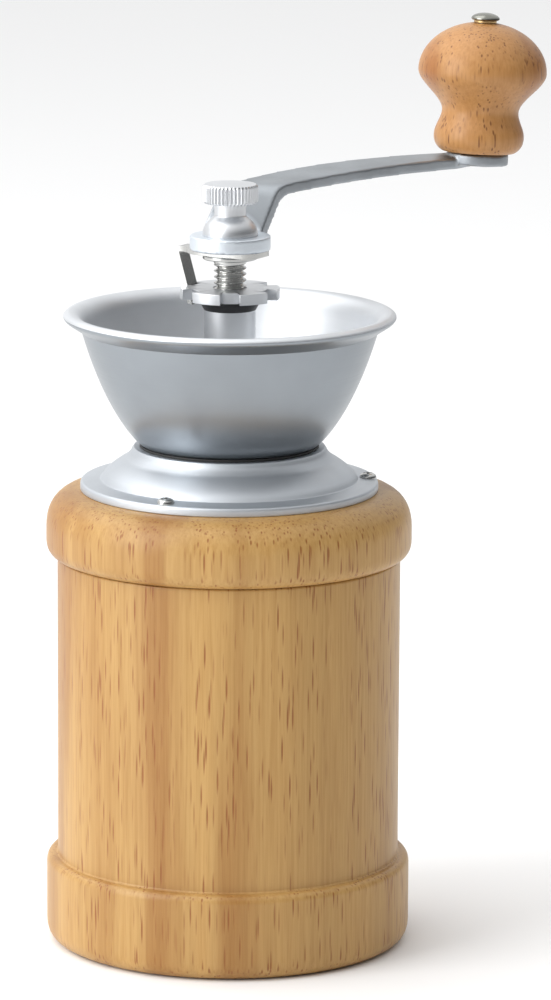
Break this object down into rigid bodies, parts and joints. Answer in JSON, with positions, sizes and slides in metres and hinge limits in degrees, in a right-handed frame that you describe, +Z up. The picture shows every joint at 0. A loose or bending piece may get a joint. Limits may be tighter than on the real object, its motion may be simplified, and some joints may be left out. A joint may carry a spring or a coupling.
{
  "type": "hand crank coffee grinder",
  "caption": "Hand crank coffee grinder: turned wooden jar, spun metal hopper, star grind dial with stop clip, and a cast crank with a wooden knob.",
  "frame": {"origin": "middle of the wooden face that stands on the table", "axes": "+Z up along the shaft, +X to the right and -Y to the front as the mill is shown, the crank pointing right and back"},
  "size_m": [0.1175, 0.1065, 0.2125],
  "materials": {
    "wood": "pale open-pored hardwood, clear satin lacquer",
    "knob_wood": "pale open-pored hardwood, a little redder, clear satin lacquer",
    "spun_aluminium": "spun and satin anodised, faint rings",
    "cast_aluminium": "die cast and tumbled, matt",
    "blasted_aluminium": "turned and plated, soft satin",
    "zinc": "bright zinc plate",
    "dark_steel": "dark nickel plate, polished",
    "spring_steel": "drawn wire",
    "brass": "dull brass",
    "cast_iron": "as cast, ground teeth",
    "rubber": "matt black",
    "black_plastic": "moulded, matt black"
  },
  "bodies": {
    "jar": {"container": "wood"},
    "head": {"top_ring": "wood", "spigot_ring": "black_plastic", "spigot_screws": "zinc", "seal_ring": "rubber", "base_plate": "spun_aluminium", "plate_screws": "zinc", "hopper_gasket": "rubber", "hopper": "spun_aluminium", "bearing_frame": "cast_aluminium", "outer_burr": "cast_iron", "frame_screws": "zinc", "frame_nuts": "zinc", "upper_bush": "black_plastic", "lower_bush": "black_plastic"},
    "drive": {"spring_seat": "zinc", "burr_spring": "spring_steel"},
    "shaft": {"shaft": "zinc", "inner_burr": "cast_iron", "burr_washer": "zinc", "burr_nut": "zinc", "shaft_washer": "zinc"},
    "dial": {"dial": "blasted_aluminium"},
    "clip": {"clip": "zinc"},
    "crank": {"crank_arm": "cast_aluminium", "knob_pin": "dark_steel", "knob_washer": "brass"},
    "thumb_nut": {"crank_nut": "blasted_aluminium"},
    "knob": {"knob": "knob_wood"}
  },
  "joints": [
    {"name": "head_lift", "type": "slide", "parent": "jar", "child": "head", "axis": [0, 0, 1], "range_m": [0, 0.06]},
    {"name": "crank_spin", "type": "hinge", "parent": "head", "child": "drive", "pos_m": [0, 0, 0.117], "axis": [0, 0, 1], "continuous": true},
    {"name": "dial_turn", "type": "hinge", "parent": "drive", "child": "dial", "pos_m": [0, 0, 0.153], "axis": [0, 0, 1], "range_deg": [-120, 120], "deforming": ["clip"]},
    {"name": "burr_lift", "type": "slide", "parent": "drive", "child": "shaft", "axis": [0, 0, 1], "range_m": [-0.000466, 0.000466], "deforming": ["burr_spring"]},
    {"name": "clip_lift", "type": "slide", "parent": "shaft", "child": "clip", "axis": [0, 0, 1], "range_m": [0, 0.014]},
    {"name": "crank_lift", "type": "slide", "parent": "clip", "child": "crank", "axis": [0, 0, 1], "range_m": [0, 0.014]},
    {"name": "nut_lift", "type": "slide", "parent": "crank", "child": "thumb_nut", "axis": [0, 0, 1], "range_m": [0, 0.012]},
    {"name": "knob_spin", "type": "hinge", "parent": "crank", "child": "knob", "pos_m": [0.0588, 0.048, 0.1791], "axis": [0.0473, 0.0386, 0.9981], "continuous": true}
  ],
  "couplings": [
    {"joint": "dial_turn", "follows": "burr_lift", "rad_per_m": -4488}
  ]
}
